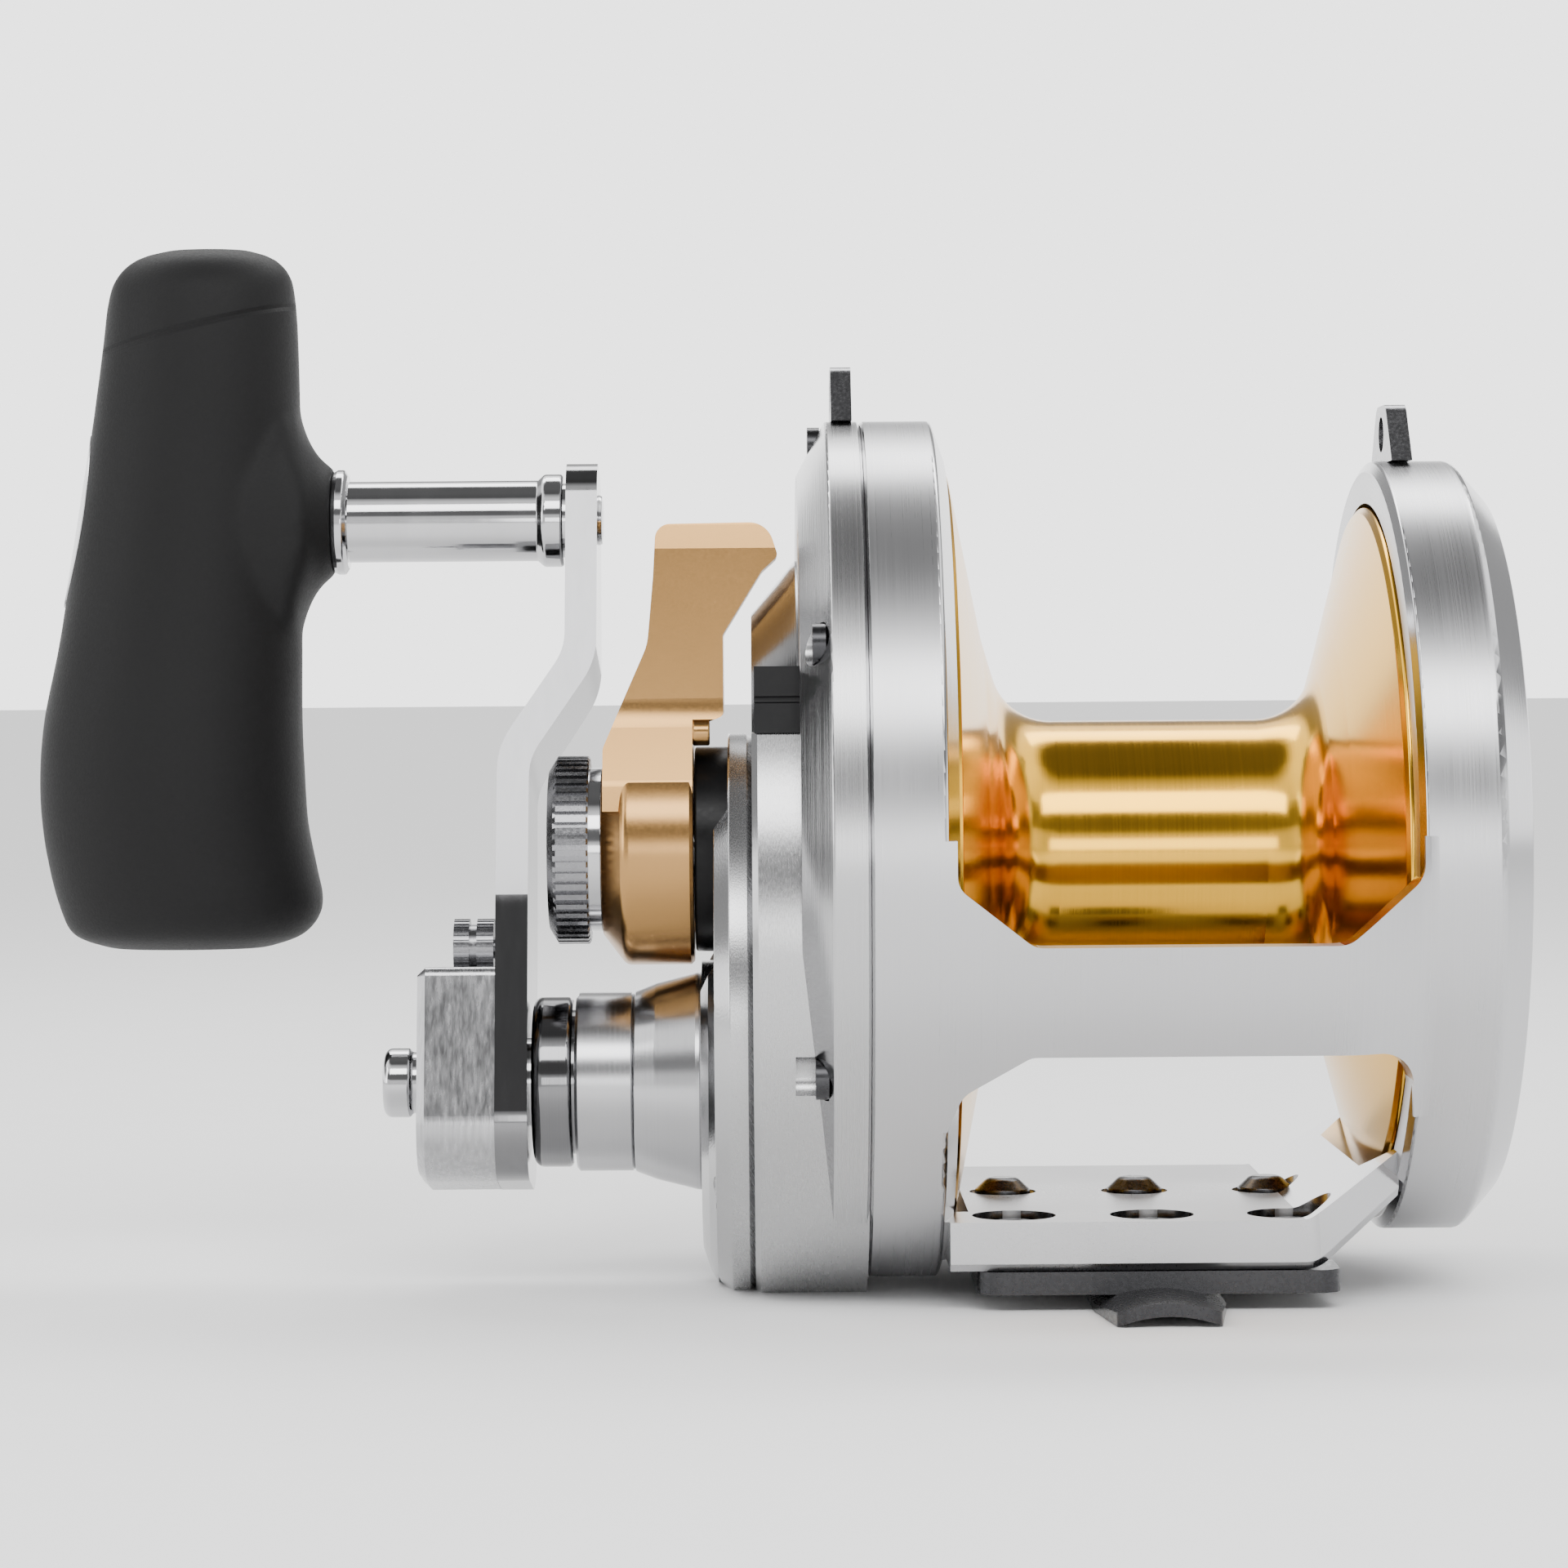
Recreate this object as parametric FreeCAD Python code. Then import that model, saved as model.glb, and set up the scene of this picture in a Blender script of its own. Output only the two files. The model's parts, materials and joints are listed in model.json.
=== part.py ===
"""Two-speed lever-drag trolling reel, built as the separate pieces it comes apart into.

Everything is modelled about the spool: X runs along the spool's axis with the handle at -X, -Y is the side
that faces the rod tip, +Z is up, and the spool's centre is (0, 0, 0). save() then moves each piece into the
part's own frame, whose origin is the middle of the rod seat under the foot. All sizes are in millimetres.
"""
import FreeCAD, Part
import math
import os
from FreeCAD import Vector

# ---- driving dimensions -------------------------------------------------------------------------------------
AXIS_HEIGHT = 62.0          # spool axis above the rod seat
FOOT_X = -2.6               # middle of the foot, along the spool axis

DRIVE_RING_R = 62.5         # frame ring and side plate on the handle side
PALM_RING_R = 56.1          # frame ring on the palm side
DRIVE_FLANGE_R = 55.5       # spool flange that carries the brake disc
PALM_FLANGE_R = 49.4
ARBOR_R = 18.4
FLANGE_GAP = 0.6            # flange to ring bore

SEAM_X = -42.8              # joint face between frame and side plate
RING_EDGE_X = -32.6         # spool-side edge of the drive ring's rim
PALM_FACE_X = 31.3          # spool-side face of the palm ring
PALM_RIM_X = 42.8
PALM_OUT_X = 47.3
PALM_SHELF_X = 43.3        # the palm plate sits on this face

PLATE_RIM_X = -47.9         # side plate: outer edge of its round rim
PLATE_FACE_X = -52.1
BOSS_FACE_X = -58.8         # gear boss face
BOSS_Z = -12.0
BOSS_R = 53.2
QUADRANT_R = (42.2, 34.4)   # bevel under the drag lever, about the spool's axis
LEDGE_Z = 17.4              # front of the boss's straight wall stops here
REAR_LEDGE_Z = 9.0
COVER_FACE_X = -64.3
COVER_Z = -23.9
COVER_R = 40.9
CAP_FACE_X = -66.4

CRANK_Z = -34.0             # handle shaft below the spool axis
CRANK_R = 6.5
MODULE = 1.0
HIGH_GEAR, HIGH_PINION = 51, 17
LOW_GEAR, LOW_PINION = 39, 29

SPINDLE_R = 4.0
HANDLE_LEAN = 12.7          # degrees that the crank stands back from upright at rest
ARM_OUT_X, ARM_IN_X = -96.2, -91.5
ARM_STEP = 9.8              # how far the arm's upper half steps towards the reel
ARM_LENGTH = 85.2
POST_R = 6.1

SCREWS = 6                  # places round the side plate, the lowest left empty
SCREW_RING_R = 59.0
RUN = 0.05                  # radial running clearance

PARTS_FOLDER = "parts"
X_AXIS = Vector(1, 0, 0)


# ---- shape helpers ------------------------------------------------------------------------------------------
def rod(x0, x1, r, y=0.0, z=0.0):
    """A cylinder along X."""
    return Part.makeCylinder(r, x1 - x0, Vector(x0, y, z), X_AXIS)


def tube(x0, x1, outer, inner, y=0.0, z=0.0):
    return rod(x0, x1, outer, y, z).cut(rod(x0 - 1, x1 + 1, inner, y, z))


def cone(x0, x1, r0, r1, y=0.0, z=0.0):
    return Part.makeCone(r0, r1, x1 - x0, Vector(x0, y, z), X_AXIS)


def block(x0, x1, y0, y1, z0, z1):
    return Part.makeBox(x1 - x0, y1 - y0, z1 - z0, Vector(x0, y0, z0))


def rounded_wire(corners, place):
    """A closed outline through (a, b, radius) corners, each rounded by a tangent arc. place maps (a, b) to 3-D."""
    count = len(corners)
    stops = []
    for i, (a, b, radius) in enumerate(corners):
        here = Vector(a, b, 0)
        back = Vector(*corners[i - 1][:2], 0) - here
        ahead = Vector(*corners[(i + 1) % count][:2], 0) - here
        back.normalize()
        ahead.normalize()
        if radius <= 0:
            stops.append((here, None, here))
            continue
        half = back.getAngle(ahead) / 2
        reach = radius / math.tan(half)
        inward = back + ahead
        inward.normalize()
        middle = here + inward * (radius / math.sin(half) - radius)
        stops.append((here + back * reach, middle, here + ahead * reach))
    edges = []
    for i, (start, middle, end) in enumerate(stops):
        if middle is not None:
            edges.append(Part.Arc(place(start), place(middle), place(end)).toShape())
        following = stops[(i + 1) % count][0]
        if (following - end).Length > 1e-6:
            edges.append(Part.LineSegment(place(end), place(following)).toShape())
    return Part.Wire(edges)


def turned(profile, y=0.0, z=0.0, degrees=360.0, start=0.0):
    """Revolves an (x, r, corner radius) outline about the line through (y, z) along X."""
    wire = rounded_wire(profile, lambda p: Vector(p.x, y, z + p.y))
    shape = Part.Face(wire).revolve(Vector(0, y, z), X_AXIS, degrees)
    if start:
        shape.rotate(Vector(0, y, z), X_AXIS, start)
    return shape


def prism_y(corners, y0, y1):
    """An (x, z, radius) outline, extruded along Y."""
    wire = rounded_wire(corners, lambda p: Vector(p.x, y0, p.y))
    return Part.Face(wire).extrude(Vector(0, y1 - y0, 0))


def prism_x(corners, x0, x1):
    """A (y, z, radius) outline, extruded along X."""
    wire = rounded_wire(corners, lambda p: Vector(x0, p.x, p.y))
    return Part.Face(wire).extrude(Vector(x1 - x0, 0, 0))


def prism_z(corners, z0, z1):
    """An (x, y, radius) outline, extruded along Z."""
    wire = rounded_wire(corners, lambda p: Vector(p.x, p.y, z0))
    return Part.Face(wire).extrude(Vector(0, 0, z1 - z0))


def polygon_x(points, x0, x1):
    """A plain (y, z) polygon, extruded along X."""
    ring = [Vector(x0, y, z) for y, z in points]
    return Part.Face(Part.makePolygon(ring + ring[:1])).extrude(Vector(x1 - x0, 0, 0))


def polar(radius, degrees, y=0.0, z=0.0):
    """(y, z) at an angle that is 0 towards -Y, the rod tip, and 90 at the top."""
    a = math.radians(degrees)
    return y - radius * math.cos(a), z + radius * math.sin(a)


def ring_of(make, count, radius, first=90.0, y=0.0, z=0.0):
    """make(y, z) at equal steps round a circle, as a list of shapes."""
    return [make(*polar(radius, first + i * 360.0 / count, y, z)) for i in range(count)]


def fuse(shapes):
    first, *rest = shapes
    return first.fuse(rest).removeSplitter() if rest else first


def turn_about(shape, degrees, y=0.0, z=0.0):
    shape = shape.copy()
    shape.rotate(Vector(0, y, z), X_AXIS, degrees)
    return shape


def edges_where(shape, test):
    return [e for e in shape.Edges if test(e)]


def circle_edges(shape, x, r):
    """Circular edges at station x with radius r."""
    def fits(edge):
        curve = edge.Curve
        return isinstance(curve, Part.Circle) and abs(curve.Radius - r) < 0.02 and abs(curve.Center.x - x) < 0.02
    return edges_where(shape, fits)


def toothed_disc(teeth, tip_r, root_r, x0, x1, land=0.35, y=0.0, z=0.0):
    """A disc with straight-sided teeth, for knurls and click wheels."""
    step = 360.0 / teeth
    points = []
    for i in range(teeth):
        base = i * step
        points.append(polar(root_r, base - step * (0.5 - land / 2), y, z))
        points.append(polar(tip_r, base - step * land / 2, y, z))
        points.append(polar(tip_r, base + step * land / 2, y, z))
        points.append(polar(root_r, base + step * (0.5 - land / 2), y, z))
    return polygon_x(points, x0, x1)


def involute_gear(teeth, x0, x1, bore, y, z, on_tooth):
    """A spur gear of stub involute teeth with backlash. on_tooth is the polar angle of one tooth's middle."""
    pressure = math.radians(20)
    pitch_r = MODULE * teeth / 2
    base_r = pitch_r * math.cos(pressure)
    tip_r = pitch_r + 0.8 * MODULE
    root_r = pitch_r - 1.05 * MODULE
    backlash = 0.12
    half_at_pitch = math.pi / (2 * teeth) - backlash / (2 * pitch_r)
    inv = lambda a: math.tan(a) - a

    def half_angle(radius):
        if radius <= base_r:
            return half_at_pitch + inv(pressure)
        return half_at_pitch + inv(pressure) - inv(math.acos(base_r / radius))

    flank_radii = [root_r, max(base_r, root_r + 0.05), pitch_r, tip_r]
    points = []
    for i in range(teeth):
        middle = on_tooth + i * 360.0 / teeth
        for radius in flank_radii:
            points.append(polar(radius, middle - math.degrees(half_angle(radius)), y, z))
        for radius in reversed(flank_radii):
            points.append(polar(radius, middle + math.degrees(half_angle(radius)), y, z))
    return polygon_x(points, x0, x1).cut(rod(x0 - 1, x1 + 1, bore, y, z))


def ball_bearing(x0, x1, outer, inner, y=0.0, z=0.0, balls=8):
    """Two races and a ring of balls, as separate solids."""
    width = x1 - x0
    race = (outer - inner) * 0.3
    middle_r = (outer + inner) / 2
    ball_r = min(width * 0.36, (outer - inner) * 0.3)
    centre_x = (x0 + x1) / 2
    ring_balls = ring_of(lambda by, bz: Part.makeSphere(ball_r, Vector(centre_x, by, bz)), balls, middle_r, y=y, z=z)
    groove = Part.makeTorus(middle_r, ball_r + 0.03, Vector(centre_x, y, z), X_AXIS)
    outer_race = tube(x0, x1, outer, outer - race, y, z).cut(groove)
    inner_race = tube(x0, x1, inner + race, inner, y, z).cut(groove)
    return Part.makeCompound([outer_race, inner_race] + ring_balls)


def socket_screw(x_top, length, head_r, head_h, shank_r, y, z, away=1):
    """A hex-socket screw along X. Its head's top is at x_top and its shank runs towards away * X."""
    def span(a, b, r):
        lo, hi = sorted((x_top + away * a, x_top + away * b))
        return rod(lo, hi, r, y, z)
    screw = span(0, head_h, head_r).fuse(span(head_h, length, shank_r))
    hexagon = [(y + head_r * 0.55 * math.cos(math.radians(60 * i)),
                z + head_r * 0.55 * math.sin(math.radians(60 * i))) for i in range(6)]
    lo, hi = sorted((x_top - away * 0.5, x_top + away * head_h * 0.6))
    return screw.cut(polygon_x(hexagon, lo, hi))


# ---- frame --------------------------------------------------------------------------------------------------
BAR_INNER_R = 56.0
FOOT_TOP_Z, FOOT_BOTTOM_Z = -50.9, -57.8
FOOT_HALF = 36.5
BAR_TOP_Z, BAR_LOW_Z = -11.4, -26.4
GUSSET_X = 18.0
FOOT_COLUMNS = (-22.4, -3.0, 16.3)
CLAMP_Y = -28.0
CLAMP_HEAD_R = 3.3
BOLT_Y = 2.0
FOOT_BOLT_R = 2.5


def side_ring_screws():
    """Screw axes round the handle-side ring; the lowest place is taken by the gear boss."""
    return [polar(SCREW_RING_R, -90 + i * 360.0 / SCREWS) for i in range(1, SCREWS)]


def crossbar(outline, front):
    """Part of the frame's tubular wall that an (x, z) outline leaves, on the front or the rear."""
    bore = PALM_FLANGE_R + FLANGE_GAP
    wall = turned([(SEAM_X + 6, BAR_INNER_R, 0), (SEAM_X + 6, DRIVE_RING_R, 0), (22.6, DRIVE_RING_R, 8.0),
                   (32.2, PALM_RING_R, 5.0), (37.0, PALM_RING_R, 0), (37.0, bore, 0), (30.0, bore, 0),
                   (22.6, BAR_INNER_R, 0)])
    y0, y1 = (-70.0, -20.0) if front else (20.0, 70.0)
    return wall.common(prism_y(outline, y0, y1))


def foot_plate():
    """Flat base between the rings; its palm end bends up to meet the smaller ring."""
    side_view = prism_y([(-40.0, FOOT_TOP_Z, 0), (GUSSET_X, FOOT_TOP_Z, 4.0), (31.5, -42.0, 0), (31.5, -48.4, 0),
                         (GUSSET_X + 1.5, FOOT_BOTTOM_Z, 5.0), (-40.0, FOOT_BOTTOM_Z, 0)], -FOOT_HALF, FOOT_HALF)
    plan = prism_z([(-40.0, -FOOT_HALF, 0), (20.0, -FOOT_HALF, 7.0), (31.6, -30.0, 0), (31.6, 30.0, 0),
                    (20.0, FOOT_HALF, 7.0), (-40.0, FOOT_HALF, 0)], -62.0, -38.0)
    body = side_view.common(plan)
    low_edges = edges_where(body, lambda e: abs(e.BoundBox.ZMax - FOOT_BOTTOM_Z) < 0.01
                            and abs(abs(e.BoundBox.YMin) - FOOT_HALF) < 0.01)
    body = body.makeChamfer(1.1, low_edges)
    return body.common(rod(-40.0, RING_EDGE_X + 1.0, DRIVE_RING_R - 0.5).fuse(block(-31.7, 32.0, -50, 50, -70, -30)))


def frame():
    bore = PALM_FLANGE_R + FLANGE_GAP
    drive_ring = turned([(SEAM_X, BAR_INNER_R, 0), (SEAM_X, DRIVE_RING_R - 0.4, 0), (SEAM_X + 0.4, DRIVE_RING_R, 0),
                         (RING_EDGE_X, DRIVE_RING_R, 0.8), (-30.8, 57.2, 0.5), (-30.8, BAR_INNER_R, 0)])
    palm_ring = turned([(PALM_FACE_X, bore, 0), (PALM_FACE_X, 54.6, 0.3), (32.2, PALM_RING_R, 0.5),
                        (PALM_RIM_X, PALM_RING_R, 1.5), (PALM_OUT_X, 51.0, 0.8), (PALM_OUT_X, 47.3, 0),
                        (PALM_SHELF_X, 47.3, 0), (PALM_SHELF_X, 42.0, 0), (40.3, 42.0, 0), (36.4, bore, 0)])
    bar_outline = [(-36.0, 3.0, 0), (-31.4, 3.0, 0), (-31.4, -3.3, 3.0), (-21.1, BAR_TOP_Z, 3.5),
                   (20.8, BAR_TOP_Z, 4.0), (31.8, -2.6, 4.0), (31.8, 3.0, 0), (34.5, 3.0, 0), (34.5, -36.0, 0),
                   (31.8, -36.0, 0), (30.8, BAR_LOW_Z, 5.5), (-21.4, BAR_LOW_Z, 3.0), (-30.6, -31.8, 4.0),
                   (-32.6, -37.0, 0), (-36.0, -37.0, 0)]
    body = fuse([drive_ring, palm_ring, crossbar(bar_outline, True), crossbar(bar_outline, False), foot_plate()])
    body = body.cut(rod(SEAM_X - 1, -28.6, BAR_INNER_R)).cut(rod(27.0, 36.4, bore))
    for x in FOOT_COLUMNS:
        body = body.cut(Part.makeCylinder(5.9, 20, Vector(x, CLAMP_Y, FOOT_TOP_Z - 3.4)))
        body = body.cut(Part.makeCylinder(2.0, 12, Vector(x, CLAMP_Y, -62)))
        body = body.cut(Part.makeCylinder(FOOT_BOLT_R, 12, Vector(x, BOLT_Y, -62)))
        body = body.cut(Part.makeCylinder(4.9, 20, Vector(x, BOLT_Y, FOOT_TOP_Z - 0.5)))
    for y, z in side_ring_screws():
        body = body.cut(rod(SEAM_X - 1, SEAM_X + 7.0, 1.5, y, z))
    for y, z in PALM_SCREWS:
        body = body.cut(rod(39.0, 44.0, 1.2, y, z))
    return body.cut(Part.makeCylinder(1.6, 5.0, Vector(PALM_LUG_X, 0, PALM_RING_R - 4.0)))


# ---- handle-side covers -------------------------------------------------------------------------------------
DRIVE_LUG_X = -45.5
PALM_LUG_X = 35.5
BRIDGE_R = 57.2


def gear_boss():
    """The raised round boss over the gears: straight-walled below the ledge, bevelled above it."""
    wall = turned([(SEAM_X - 0.1, 0, 0), (SEAM_X - 0.1, BOSS_R, 0), (BOSS_FACE_X + 0.8, BOSS_R, 0),
                   (BOSS_FACE_X, BOSS_R - 0.8, 0), (BOSS_FACE_X, 0, 0)], z=BOSS_Z)
    quadrant = turned([(SEAM_X - 0.1, 0, 0), (SEAM_X - 0.1, QUADRANT_R[0], 0), (PLATE_FACE_X - 0.3, QUADRANT_R[0], 0),
                       (BOSS_FACE_X, QUADRANT_R[1], 0), (BOSS_FACE_X, 0, 0)])
    below = wall.common(block(-70, -40, -80, 0, -90, LEDGE_Z).fuse(block(-70, -40, 0, 80, -90, REAR_LEDGE_Z)))
    return below.fuse(quadrant)


def gear_side_plate():
    plate = turned([(SEAM_X - 0.1, 0, 0), (SEAM_X - 0.1, DRIVE_RING_R - 0.4, 0), (SEAM_X - 0.5, DRIVE_RING_R, 0),
                    (PLATE_RIM_X, DRIVE_RING_R, 0.4), (PLATE_FACE_X, 54.6, 0.4), (PLATE_FACE_X, 0, 0)])
    body = fuse([plate, gear_boss()])
    body = body.cut(rod(-46.2, SEAM_X + 1, BRIDGE_R + 0.1))
    body = body.cut(rod(-51.6, -46.0, 50.2, z=BOSS_Z))
    body = body.cut(rod(-57.3, -51.5, 44.2, z=BOSS_Z))
    body = body.cut(rod(-60.0, -56.0, 34.0, z=COVER_Z))
    for y, z in side_ring_screws():
        body = body.cut(rod(PLATE_FACE_X - 1.0, SEAM_X + 1, 1.6, y, z))
        body = body.cut(rod(PLATE_FACE_X - 1.0, -48.6, 3.0, y, z))
    for y, z in COVER_SCREW_SPOTS:
        body = body.cut(rod(-60.0, -57.0, 1.3, y, z))
    body = body.cut(Part.makeCylinder(1.6, 4.0, Vector(DRIVE_LUG_X, 0, DRIVE_RING_R - 3.0)))
    return body


def lever_stop():
    """The black bumper that ends the drag lever's travel at full drag."""
    body = block(-58.4, PLATE_FACE_X - 0.02, -44.6, -30.6, LEDGE_Z + 0.02, 26.6)
    body = body.cut(rod(-60.0, -51.0, QUADRANT_R[0] + 0.02))
    return body.cut(Part.makeCylinder(0.5, 10.0, Vector(-60.0, -44.7, 22.0), X_AXIS))


def gear_bridge():
    """Inner plate that carries the crank's inner bearing and keeps grease off the brake."""
    body = tube(-45.4, SEAM_X - 0.1, BRIDGE_R, 7.3)
    body = body.fuse(rod(-46.1, -42.3, 10.2, z=CRANK_Z))
    body = body.cut(rod(-47, -42, 8.0, z=CRANK_Z))
    for y, z in [polar(48.0, 30.0 + 60.0 * i) for i in range(6)]:
        body = body.cut(rod(-47, -41, 3.2, y, z))
    return body


LEVER_RECESS_R = 27.8
LEVER_RECESS_X = -62.3


def gear_cover():
    """Round cover over the gear boss, with the crank boss and a recess where the lever sweeps."""
    disc = turned([(BOSS_FACE_X, 0, 0), (BOSS_FACE_X, COVER_R - 0.8, 0), (BOSS_FACE_X - 0.8, COVER_R, 0),
                   (COVER_FACE_X + 2.2, COVER_R, 0.3), (COVER_FACE_X, COVER_R - 1.9, 0.3), (COVER_FACE_X, 0, 0)],
                  z=COVER_Z)
    crank_boss = turned([(COVER_FACE_X + 0.1, 0, 0), (COVER_FACE_X + 0.1, 29.5, 0), (-65.3, 27.6, 0.5),
                         (CAP_FACE_X, 24.4, 0.5), (CAP_FACE_X, 0, 0)], z=CRANK_Z)
    spigot = rod(BOSS_FACE_X - 0.1, -57.4, 33.9, z=COVER_Z)
    body = fuse([disc, crank_boss, spigot])
    body = body.cut(rod(-62.0, -57.0, 31.5, z=COVER_Z))
    body = body.fuse(rod(-62.2, -57.9, 11.6).common(rod(-62.2, -57.4, 33.0, z=COVER_Z)))
    body = body.cut(rod(-62.1, -57.0, 9.0))
    sweep = rod(-70.0, LEVER_RECESS_X, LEVER_RECESS_R)
    body = body.cut(sweep.cut(rod(-71.0, LEVER_RECESS_X - 0.01, 17.6, z=CRANK_Z)))
    body = body.cut(rod(-70.0, -57.0, SPINDLE_R + 0.4))
    body = body.cut(rod(-70.0, -57.0, 9.4, z=CRANK_Z))
    for y, z in COVER_SCREW_SPOTS:
        body = body.cut(rod(-66.0, -57.0, 1.3, y, z)).cut(rod(-66.0, COVER_FACE_X + 2.0, 2.5, y, z))
    return body


COVER_SCREW_SPOTS = [polar(36.6, a, z=COVER_Z) for a in (-90, -40, 5, 175, 220)]


def crank_housing():
    """Conical bearing housing round the handle shaft."""
    body = turned([(CAP_FACE_X, 8.9, 0), (CAP_FACE_X, 16.0, 0.4), (-67.3, 15.9, 0.4), (-73.2, 14.4, 1.5),
                   (-76.3, 13.2, 0.3), (-76.3, 11.0, 0), (-70.4, 11.0, 0), (-70.4, 8.9, 0)], z=CRANK_Z)
    spigot = tube(CAP_FACE_X - 0.1, -63.0, 9.38, 8.9, z=CRANK_Z)
    return body.fuse(spigot)


def bearing_cap():
    """Plain collar screwed over the crank's outer bearing."""
    return turned([(-76.4, 8.0, 0), (-76.4, 12.8, 0), (-76.7, 13.1, 0), (-84.4, 13.1, 0), (-84.8, 12.7, 0),
                   (-84.8, 8.0, 0)], z=CRANK_Z)


def shaft_seal():
    return tube(-84.0, -81.6, 8.0, CRANK_R + RUN, z=CRANK_Z)


def side_plate_screws():
    """Five screws sunk into the side plate's bevel."""
    return Part.makeCompound([socket_screw(-50.4, 13.6, 2.8, 1.8, 1.45, y, z) for y, z in side_ring_screws()])


def cover_screws():
    return Part.makeCompound([socket_screw(COVER_FACE_X + 0.2, 6.6, 2.3, 1.8, 1.25, y, z)
                              for y, z in COVER_SCREW_SPOTS])


# ---- palm side ----------------------------------------------------------------------------------------------
CLICK_Z = 27.0
CLICK_TRAVEL = 4.0
PALM_SCREWS = [polar(44.6, 60.0 + 60.0 * i) for i in range(6)]


def palm_side_plate():
    """Dished cover on the palm side, with the spindle's socket on its inside."""
    x0, x1 = PALM_SHELF_X + 0.05, PALM_OUT_X - 0.1
    body = turned([(x0, 0, 0), (x0, 47.1, 0), (x1 - 0.4, 47.1, 0), (x1, 46.7, 0), (x1, 38.0, 0.5),
                   (x1 - 1.2, 35.5, 0.5), (x1 - 1.2, 15.5, 0.5), (x1, 13.5, 0.5), (x1, 0, 0)])
    body = body.fuse(rod(38.2, x0 + 0.1, 10.5))
    body = body.cut(rod(30.0, 44.8, SPINDLE_R + 0.02)).cut(rod(44.7, 48.0, 7.0))
    low = CLICK_Z - CLICK_TRAVEL - 3.1
    body = body.cut(prism_x([(-3.1, low, 3.0), (3.1, low, 3.0), (3.1, CLICK_Z + 3.1, 3.0),
                             (-3.1, CLICK_Z + 3.1, 3.0)], 42.0, 48.0))
    for y, z in PALM_SCREWS:
        body = body.cut(rod(42.0, 48.0, 1.25, y, z)).cut(rod(PALM_OUT_X - 1.8, 48.0, 2.0, y, z))
    return body


def palm_screws():
    return Part.makeCompound([socket_screw(PALM_OUT_X - 0.1, 6.6, 1.9, 1.7, 1.15, y, z, away=-1)
                              for y, z in PALM_SCREWS])


def spindle_cap():
    """Coin-slotted cap over the spindle's palm-side end."""
    face = PALM_OUT_X - 0.1
    body = turned([(44.85, 0, 0), (44.85, 6.9, 0), (face + 0.05, 6.9, 0), (face + 0.05, 11.0, 0),
                   (face + 1.9, 11.0, 0.8), (face + 2.9, 9.4, 0.5), (face + 2.9, 0, 0)])
    return body.cut(block(face + 1.7, face + 4.0, -12.0, 12.0, -0.9, 0.9))


def click_button():
    """Sliding ratchet button: thumb pad outside and a stem through the slot."""
    x0 = PALM_OUT_X - 1.1
    pad = prism_x([(-5.0, CLICK_Z - 4.0, 3.0), (5.0, CLICK_Z - 4.0, 3.0), (5.0, CLICK_Z + 4.0, 3.0),
                   (-5.0, CLICK_Z + 4.0, 3.0)], x0, x0 + 4.4)
    for i in range(3):
        pad = pad.cut(Part.makeCylinder(0.6, 14, Vector(x0 + 4.5, -7, CLICK_Z - 2.2 + 2.2 * i), Vector(0, 1, 0)))
    return pad.fuse(rod(38.4, x0 + 0.1, 2.6, 0, CLICK_Z))


def click_tongue():
    """Spring tongue on the button's stem; pushed in, its tip stays just off the click wheel's teeth."""
    return prism_x([(-3.6, CLICK_Z + 3.6, 1.0), (-3.6, CLICK_Z - 1.6, 1.5), (-0.9, CLICK_Z - 4.6, 0),
                    (0.9, CLICK_Z - 4.6, 0), (3.6, CLICK_Z - 1.6, 1.5), (3.6, CLICK_Z + 3.6, 1.0)], 36.7, 38.4)


def click_wheel():
    return toothed_disc(30, 18.0, 16.2, 36.5, 37.7).cut(rod(30, 40, 12.0))


# ---- spool and brake ----------------------------------------------------------------------------------------
SPOOL_BEARING_R = 8.0


def spool():
    """Wide-flanged spool turned from one piece, hollowed from the brake side."""
    profile = [(-34.5, SPOOL_BEARING_R, 0), (-34.5, DRIVE_FLANGE_R - 0.6, 0), (-33.9, DRIVE_FLANGE_R, 0),
               (-31.2, DRIVE_FLANGE_R, 0.7), (-30.2, DRIVE_FLANGE_R - 0.9, 0.5), (-25.4, 31.0, 22.0),
               (-21.6, ARBOR_R, 9.0), (21.6, ARBOR_R, 9.0), (25.4, 31.0, 22.0), (30.3, PALM_FLANGE_R - 0.9, 0.5),
               (31.0, PALM_FLANGE_R, 0.6), (34.2, PALM_FLANGE_R, 0), (34.8, PALM_FLANGE_R - 0.6, 0),
               (34.8, 14.5, 0), (36.5, 14.5, 0), (36.5, 12.0, 0), (37.7, 12.0, 0), (37.7, SPOOL_BEARING_R, 0)]
    body = turned(profile)
    body = body.cut(tube(-36.0, 9.0, 15.0, 11.0))
    return body.fuse(tube(-29.0, 32.1, SPOOL_BEARING_R + 0.1, 6.2))


def spool_bearings():
    return Part.makeCompound([ball_bearing(-34.4, -29.1, SPOOL_BEARING_R - 0.01, SPINDLE_R + RUN),
                              ball_bearing(32.2, 37.5, SPOOL_BEARING_R - 0.01, SPINDLE_R + RUN)])


def brake_disc():
    disc = tube(-36.6, -34.6, 42.0, 16.5)
    for y, z in BRAKE_SCREW_SPOTS:
        disc = disc.cut(rod(-38, -34, 1.3, y, z))
    return disc


BRAKE_SCREW_SPOTS = [polar(18.6, 30.0 + 60.0 * i) for i in range(6)]


def spindle():
    """Fixed shaft through the spool, with the threaded end that carries the preset knob."""
    body = turned([(-87.6, 0, 0), (-87.6, 3.6, 0), (-87.2, SPINDLE_R, 0), (44.3, SPINDLE_R, 0), (44.7, 3.6, 0),
                   (44.7, 0, 0)])
    return body


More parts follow.
